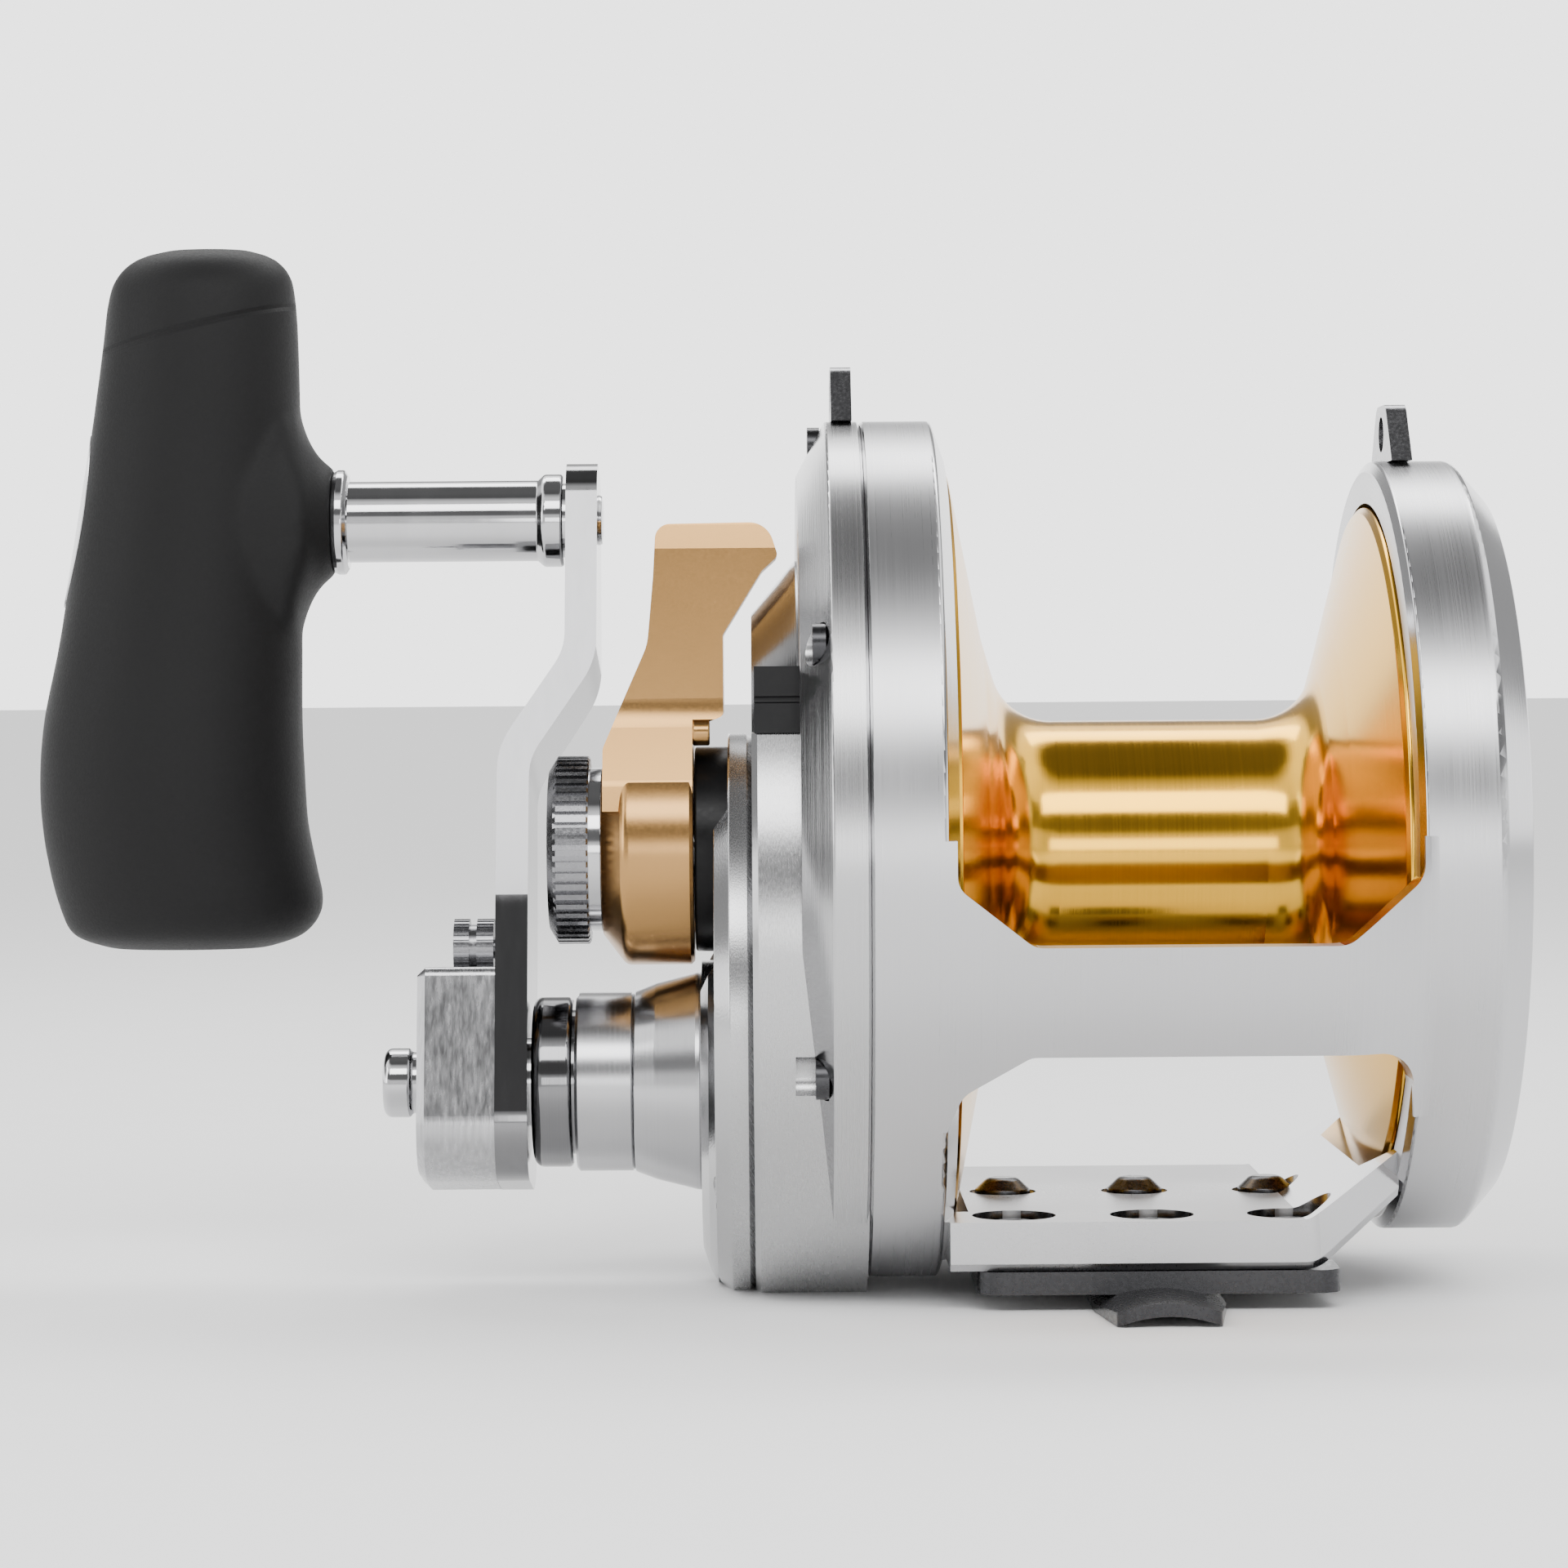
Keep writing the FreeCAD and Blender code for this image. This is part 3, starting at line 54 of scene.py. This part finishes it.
# ---- node helpers -----------------------------------------------------------------------------------------
class Graph:
    """A short way to add and join shader nodes."""

    def __init__(self, tree):
        self.tree = tree
        tree.nodes.clear()

    def add(self, kind, inputs=None, **settings):
        node = self.tree.nodes.new(kind)
        for key, value in settings.items():
            setattr(node, key, value)
        for key, value in (inputs or {}).items():
            self.feed(node.inputs[key], value)
        return node

    def feed(self, socket, value):
        if isinstance(value, bpy.types.NodeSocket):
            self.tree.links.new(value, socket)
        else:
            socket.default_value = value

    def maths(self, operation, a, b=0.0, clamp=False):
        node = self.add("ShaderNodeMath", operation=operation, use_clamp=clamp)
        self.feed(node.inputs[0], a)
        self.feed(node.inputs[1], b)
        return node.outputs[0]

    def remap(self, value, low, high, to_low, to_high):
        node = self.add("ShaderNodeMapRange", {"Value": value, "From Min": low, "From Max": high,
                                               "To Min": to_low, "To Max": to_high})
        return node.outputs["Result"]

    def noise(self, vector, scale, detail=3.0, roughness=0.55):
        node = self.add("ShaderNodeTexNoise", {"Vector": vector, "Scale": scale, "Detail": detail,
                                               "Roughness": roughness})
        return node.outputs["Fac"]

    def scaled(self, vector, scale):
        node = self.add("ShaderNodeVectorMath", {0: vector, 1: scale}, operation="MULTIPLY")
        return node.outputs[0]

    def tint(self, factor, dark, light):
        node = self.add("ShaderNodeMix", {"Factor": factor}, data_type="RGBA")
        self.feed(node.inputs[6], (*dark, 1.0))
        self.feed(node.inputs[7], (*light, 1.0))
        return node.outputs[2]


def about_axis(graph, axis_z):
    """Coordinates (along X, radius from the axis, 0), in which lathe marks are straight lines."""
    point = graph.add("ShaderNodeTexCoord").outputs["Object"]
    parts = graph.add("ShaderNodeSeparateXYZ", {0: point})
    height = graph.maths("SUBTRACT", parts.outputs[2], axis_z)
    across = graph.maths("MULTIPLY", parts.outputs[1], parts.outputs[1])
    up = graph.maths("MULTIPLY", height, height)
    radius = graph.maths("SQRT", graph.maths("ADD", across, up))
    return graph.add("ShaderNodeCombineXYZ", {0: parts.outputs[0], 1: radius}).outputs[0]


def shade(colour):
    return tuple(min(1.0, c) for c in colour)


def surface(name, base, metallic, roughness, grain=(900, 900, 900), spread=0.06, bump=0.08, tone=0.06,
            axis_z=None, polished=None, specular=0.5, anisotropic=0.0, seam=None):
    """A surface with grain in its tone, roughness and relief.

    axis_z turns the grain into lathe marks about that height; polished is the roughness that sloping
    bevels get instead; seam is (height at X = 0, slope along X, half width) of a moulded groove.
    """
    material = bpy.data.materials.new(name)
    material.use_nodes = True
    graph = Graph(material.node_tree)
    if axis_z is None:
        place = graph.add("ShaderNodeTexCoord").outputs["Object"]
    else:
        place = about_axis(graph, axis_z)
    fine = graph.noise(graph.scaled(place, grain), 1.0)
    broad = graph.noise(graph.add("ShaderNodeTexCoord").outputs["Object"], 38.0, 2.0)
    mixed = graph.maths("ADD", graph.maths("MULTIPLY", fine, 0.65), graph.maths("MULTIPLY", broad, 0.35))
    rough = graph.remap(mixed, 0.3, 0.7, roughness - spread, roughness + spread)
    if polished is not None:
        normal = graph.add("ShaderNodeSeparateXYZ",
                           {0: graph.add("ShaderNodeTexCoord").outputs["Normal"]}).outputs[0]
        slope = graph.maths("ABSOLUTE", normal)
        leaning = graph.maths("MULTIPLY", graph.maths("GREATER_THAN", slope, 0.22),
                              graph.maths("LESS_THAN", slope, 0.97))
        blend = graph.add("ShaderNodeMix", {0: leaning, 2: rough, 3: polished})
        rough = blend.outputs[0]
    dark = shade(c * (1 - tone) for c in base)
    light = shade(c * (1 + tone) for c in base)
    colour = graph.tint(graph.remap(mixed, 0.3, 0.7, 0.0, 1.0), dark, light)
    relief = graph.add("ShaderNodeBump", {"Height": fine, "Strength": bump, "Distance": 0.0001})
    if seam is not None:
        spot = graph.add("ShaderNodeSeparateXYZ", {0: graph.add("ShaderNodeTexCoord").outputs["Object"]})
        line = graph.maths("ADD", graph.maths("MULTIPLY", spot.outputs[0], seam[1]), seam[0])
        away = graph.maths("ABSOLUTE", graph.maths("SUBTRACT", spot.outputs[2], line))
        groove = graph.remap(away, 0.0, seam[2], 0.0, 1.0)
        relief = graph.add("ShaderNodeBump", {"Height": groove, "Strength": 0.8, "Distance": 0.0004,
                                              "Normal": relief.outputs[0]})
    shader = graph.add("ShaderNodeBsdfPrincipled", {"Base Color": colour, "Metallic": metallic,
                                                    "Roughness": rough, "Normal": relief.outputs[0],
                                                    "Specular IOR Level": specular,
                                                    "Anisotropic": anisotropic})
    out = graph.add("ShaderNodeOutputMaterial")
    graph.tree.links.new(shader.outputs[0], out.inputs[0])
    return material


# ---- materials --------------------------------------------------------------------------------------------
SILVER = (0.50, 0.50, 0.51)
LATHE = (5200, 5200, 1)
# Moulded groove round the top of the grip: height at X = 0, slope along X, half width.
GRIP_SEAM = (0.1735, 0.24, 0.0006)


def reel_materials():
    """One material for each of the record's slots, and extra ones for single nodes."""
    by_slot = {
        "frame_aluminium": surface("frame_satin", SILVER, 1.0, 0.30, LATHE, 0.05, 0.07, 0.035,
                                   SPOOL_AXIS_Z, 0.15),
        "cover_aluminium": surface("cover_satin", (0.46, 0.46, 0.465), 1.0, 0.26, LATHE, 0.06, 0.14, 0.05,
                                   SPOOL_AXIS_Z, 0.14),
        "polished_steel": surface("polished_steel", (0.50, 0.50, 0.51), 1.0, 0.09, (300, 300, 60), 0.03, 0.02,
                                  0.04),
        "spool_gold": surface("spool_gold", (0.74, 0.40, 0.035), 1.0, 0.15, (6500, 6500, 1), 0.04, 0.05,
                              0.07, SPOOL_AXIS_Z, anisotropic=0.4),
        "lever_bronze": surface("lever_gold", (0.42, 0.235, 0.085), 1.0, 0.24, (3000, 3000, 3000), 0.04, 0.02,
                                0.05),
        "dark_steel": surface("gunmetal", (0.055, 0.055, 0.058), 1.0, 0.28, (1500, 1500, 1500), 0.07, 0.06,
                              0.14),
        "grip_rubber": surface("grip_rubber", (0.0045, 0.0045, 0.0048), 0.0, 0.60, (2600, 2600, 2600), 0.08,
                               0.35, 0.25, specular=0.22, seam=GRIP_SEAM),
        "badge_silver": surface("badge_silver", (0.62, 0.62, 0.63), 1.0, 0.28, (4000, 4000, 60), 0.06, 0.06,
                                0.06),
        "black_polymer": surface("black_polymer", (0.005, 0.005, 0.0055), 0.0, 0.34, (1800, 1800, 1800), 0.08,
                                 0.12, 0.2, specular=0.2),
        "knurled_steel": surface("knurled_steel", (0.42, 0.42, 0.43), 1.0, 0.24, (2200, 2200, 2200), 0.07,
                                 0.10, 0.10),
        "gear_steel": surface("gear_steel", (0.52, 0.51, 0.50), 1.0, 0.34, LATHE, 0.07, 0.12, 0.08,
                              SPOOL_AXIS_Z),
        "bearing_steel": surface("bearing_steel", (0.64, 0.64, 0.65), 1.0, 0.14, (3000, 3000, 3000), 0.04,
                                 0.04, 0.05),
        "carbon_washer": surface("carbon_washer", (0.03, 0.03, 0.032), 0.0, 0.55, (900, 4000, 900), 0.1, 0.3,
                                 0.3),
        "bush_bronze": surface("bush_bronze", (0.55, 0.36, 0.16), 1.0, 0.36, (2400, 2400, 2400), 0.07, 0.12,
                               0.1),
    }
    turned_on_crank = surface("crank_turned", (0.48, 0.48, 0.49), 1.0, 0.23, LATHE, 0.05, 0.06, 0.05,
                              CRANK_AXIS_Z, 0.2)
    dark_polished = surface("dark_polished", (0.20, 0.20, 0.205), 1.0, 0.10, (5200, 5200, 1), 0.04, 0.05, 0.1,
                            CRANK_AXIS_Z)
    brushed = surface("brushed_block", (0.44, 0.44, 0.45), 1.0, 0.26, (1500, 1500, 12), 0.08, 0.20, 0.22)
    knurl_dark = surface("knurl_dark", (0.24, 0.24, 0.25), 1.0, 0.24, (2200, 2200, 2200), 0.08, 0.1, 0.12)
    arm_steel = surface("arm_steel", (0.22, 0.22, 0.225), 1.0, 0.08, (500, 500, 40), 0.03, 0.03, 0.06)
    by_node = {
        "handle_arm": arm_steel, "harness_lug_drive": knurl_dark, "harness_lug_palm": knurl_dark,
        "crank_housing": turned_on_crank, "bearing_cap": turned_on_crank, "arm_collar": dark_polished,
        "shift_housing": brushed, "preset_knob": knurl_dark, "release_knob": knurl_dark,
        "cam_ring": by_slot["black_polymer"],
    }
    return by_slot, by_node


def paint(by_slot, by_node):
    """Gives each CAD node its material."""
    for part in frame["record"]["subparts"]:
        node = frame["nodes"][part["node"]]
        material = by_node.get(part["node"], by_slot[part["material_slot"]])
        node.data.materials.clear()
        node.data.materials.append(material)


# ---- grip -------------------------------------------------------------------------------------------------
# Height as a share of the grip, outer and inner edge along X as shares of its width, depth as a share.
GRIP_RINGS = ((0.000, 0.26, 0.78, 0.40), (0.020, 0.12, 0.92, 0.72), (0.060, 0.070, 0.985, 0.90),
              (0.115, 0.035, 0.965, 0.97), (0.18, 0.010, 0.935, 1.0), (0.25, 0.004, 0.925, 1.0),
              (0.33, 0.020, 0.918, 0.965), (0.44, 0.075, 0.920, 0.90), (0.58, 0.130, 0.922, 0.855),
              (0.72, 0.185, 0.920, 0.815), (0.85, 0.230, 0.915, 0.78), (0.93, 0.255, 0.905, 0.72),
              (0.965, 0.290, 0.885, 0.62), (0.988, 0.360, 0.830, 0.46), (1.0, 0.470, 0.740, 0.24))
RING_POINTS = 72
RING_STEPS = 120
BODY_SHARE = 0.948
WIDEST_EDGE = 0.985
POST_OVERLAP = 0.1 * MM
# The neck from the ferrule inwards: place as a share of the width, radius in mm; it is at most this deep.
NECK_RINGS = ((1.0, 8.0), (0.97, 8.8), (0.94, 10.2), (0.915, 12.0), (0.895, 14.2), (0.875, 17.5), (0.84, 20.0),
              (0.70, 16.0))
NECK_DEPTH = 12
SKIN_VOXEL = 0.75 * MM


def smooth_between(rings, count):
    """Catmull-Rom steps between the rings' numbers."""
    out = []
    for i in range(count + 1):
        t = i / count * (len(rings) - 1)
        k = min(int(t), len(rings) - 2)
        u = t - k
        p = [rings[max(0, min(len(rings) - 1, k + d))] for d in (-1, 0, 1, 2)]
        out.append([0.5 * (2 * b + (c - a) * u + (2 * a - 5 * b + 4 * c - d) * u * u
                           + (3 * b - a - 3 * c + d) * u ** 3) for a, b, c, d in zip(*p)])
    return out


def skin(rings, faces_from=0):
    """The rings' points, and quads between them with a cap at each end, numbered from faces_from."""
    size = len(rings[0])
    faces = []
    for i in range(len(rings) - 1):
        for j in range(size):
            a, b = i * size + j, i * size + (j + 1) % size
            faces.append([faces_from + n for n in (a, b, b + size, a + size)])
    last = (len(rings) - 1) * size
    faces.append([faces_from + n for n in reversed(range(size))])
    faces.append([faces_from + last + n for n in range(size)])
    return [point for ring in rings for point in ring], faces


def grip_piece(material):
    """Rubber T-grip: a smooth waisted body that flows into the neck round the post."""
    low, high = (Vector(corner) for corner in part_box("grip"))
    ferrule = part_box("grip_ferrule")
    post_y = (ferrule[0][1] + ferrule[1][1]) / 2
    post_z = (ferrule[0][2] + ferrule[1][2]) / 2
    width = (ferrule[0][0] + POST_OVERLAP) - low.x
    body_right = low.x + width * BODY_SHARE
    depth = (high.y - low.y) / 2
    rings = []
    for rise, outer, inner, share in smooth_between(GRIP_RINGS, RING_STEPS):
        x0 = low.x + outer * (body_right - low.x) / WIDEST_EDGE
        x1 = low.x + inner * (body_right - low.x) / WIDEST_EDGE
        middle, half = (x0 + x1) / 2, (x1 - x0) / 2
        ring = []
        for j in range(RING_POINTS):
            a = 2 * math.pi * j / RING_POINTS
            ring.append((middle + half * math.cos(a), post_y + depth * share * math.sin(a),
                         low.z + rise * (high.z - low.z)))
        rings.append(ring)
    points, faces = skin(rings)
    neck_rings = []
    for share, radius in NECK_RINGS:
        squash = 1.0 if radius < NECK_DEPTH else NECK_DEPTH / radius
        neck_rings.append([(low.x + share * width,
                            post_y + radius * MM * math.sin(2 * math.pi * j / RING_POINTS) * squash,
                            post_z + radius * MM * math.cos(2 * math.pi * j / RING_POINTS))
                           for j in range(RING_POINTS)])
    more_points, more_faces = skin(neck_rings, len(points))
    mesh = bpy.data.meshes.new("grip_skin")
    mesh.from_pydata(points + more_points, [], faces + more_faces)
    mesh.update()
    piece = bpy.data.objects.new("grip_skin", mesh)
    bpy.context.scene.collection.objects.link(piece)
    merge = piece.modifiers.new("merge", "REMESH")
    merge.mode, merge.voxel_size, merge.use_smooth_shade = "VOXEL", SKIN_VOXEL, True
    soften = piece.modifiers.new("soften", "SMOOTH")
    soften.factor, soften.iterations = 0.5, 14
    mesh.materials.append(material)
    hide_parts("grip")
    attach(piece, "grip")
    return piece


# ---- studio -----------------------------------------------------------------------------------------------
CAMERA_AT = Vector((-54.8, -662.0, 86.0)) * MM
CAMERA_LENS = 103.4
CAMERA_SHIFT = (0.0146, -0.063)
CAMERA_ROLL = -0.45
FLOOR_Z = -1.5 * MM


def camera():
    data = bpy.data.cameras.new("camera")
    data.lens, data.sensor_width = CAMERA_LENS, 36.0
    data.shift_x, data.shift_y = CAMERA_SHIFT
    data.clip_start, data.clip_end = 0.01, 50.0
    view = bpy.data.objects.new("camera", data)
    turn = Matrix.Rotation(math.pi / 2, 4, "X") @ Matrix.Rotation(math.radians(CAMERA_ROLL), 4, "Z")
    view.matrix_world = Matrix.Translation(CAMERA_AT) @ turn
    bpy.context.scene.collection.objects.link(view)
    bpy.context.scene.camera = view


def softbox(name, place, aim, width, height, power, colour=(1.0, 1.0, 1.0)):
    data = bpy.data.lights.new(name, "AREA")
    data.shape, data.size, data.size_y = "RECTANGLE", width, height
    data.energy, data.color = power, colour
    light = bpy.data.objects.new(name, data)
    light.location = place
    light.rotation_euler = (Vector(aim) - Vector(place)).to_track_quat("-Z", "Y").to_euler()
    bpy.context.scene.collection.objects.link(light)


def floor():
    mesh = bpy.data.meshes.new("floor")
    reach = 20.0
    corners = [(-reach, -reach, FLOOR_Z), (reach, -reach, FLOOR_Z), (reach, reach, FLOOR_Z),
               (-reach, reach, FLOOR_Z)]
    mesh.from_pydata(corners, [], [(0, 1, 2, 3)])
    plane = bpy.data.objects.new("floor", mesh)
    mesh.materials.append(surface("paper", (0.97, 0.97, 0.97), 0.0, 0.85, (60, 60, 60), 0.05, 0.02, 0.01))
    bpy.context.scene.collection.objects.link(plane)


# Brightness of the studio's walls by the sine of the elevation, from the floor up.
WALL_TONES = ((-1.0, 0.6), (-0.4, 0.8), (-0.14, 1.8), (0.20, 1.8), (0.26, 0.35), (0.50, 0.30), (0.60, 1.6),
              (0.82, 1.5), (0.93, 0.12), (1.0, 0.12))
WALL_STRENGTH = 1.6
# The wall on the camera's side is dimmer, by this share.
NEAR_WALL_SHARE = 0.42


def walls():
    world = bpy.data.worlds.new("studio")
    world.use_nodes = True
    bpy.context.scene.world = world
    graph = Graph(world.node_tree)
    direction = graph.add("ShaderNodeTexCoord").outputs["Generated"]
    height = graph.add("ShaderNodeSeparateXYZ", {0: direction}).outputs[2]
    ramp = graph.add("ShaderNodeValToRGB", {0: graph.remap(height, -1.0, 1.0, 0.0, 1.0)})
    depth = graph.add("ShaderNodeSeparateXYZ", {0: direction}).outputs[1]
    nearer = graph.remap(depth, -0.85, -0.1, NEAR_WALL_SHARE, 1.0)
    stops = ramp.color_ramp.elements
    while len(stops) < len(WALL_TONES):
        stops.new(0.5)
    for stop, (sine, tone) in zip(stops, WALL_TONES):
        stop.position = (sine + 1) / 2
        stop.color = (tone, tone, tone, 1.0)
    strength = graph.maths("MULTIPLY", nearer, WALL_STRENGTH)
    back = graph.add("ShaderNodeBackground", {"Color": ramp.outputs[0], "Strength": strength})
    out = graph.add("ShaderNodeOutputWorld")
    graph.tree.links.new(back.outputs[0], out.inputs[0])


def studio():
    camera()
    floor()
    walls()
    softbox("top", (0.05, -0.62, 0.62), (0.0, 0.0, 0.06), 0.9, 0.28, 5.0)
    softbox("top_back", (0.0, 0.45, 0.75), (0.0, 0.0, 0.06), 0.9, 0.25, 4.0)
    softbox("front_low", (0.1, -0.95, 0.12), (0.0, 0.0, 0.06), 0.5, 0.16, 1.0)
    softbox("left", (-0.8, -0.35, 0.35), (-0.05, 0.0, 0.06), 0.3, 0.6, 2.0)


slot_materials, node_materials = reel_materials()
paint(slot_materials, node_materials)
grip_piece(slot_materials["grip_rubber"])
studio()
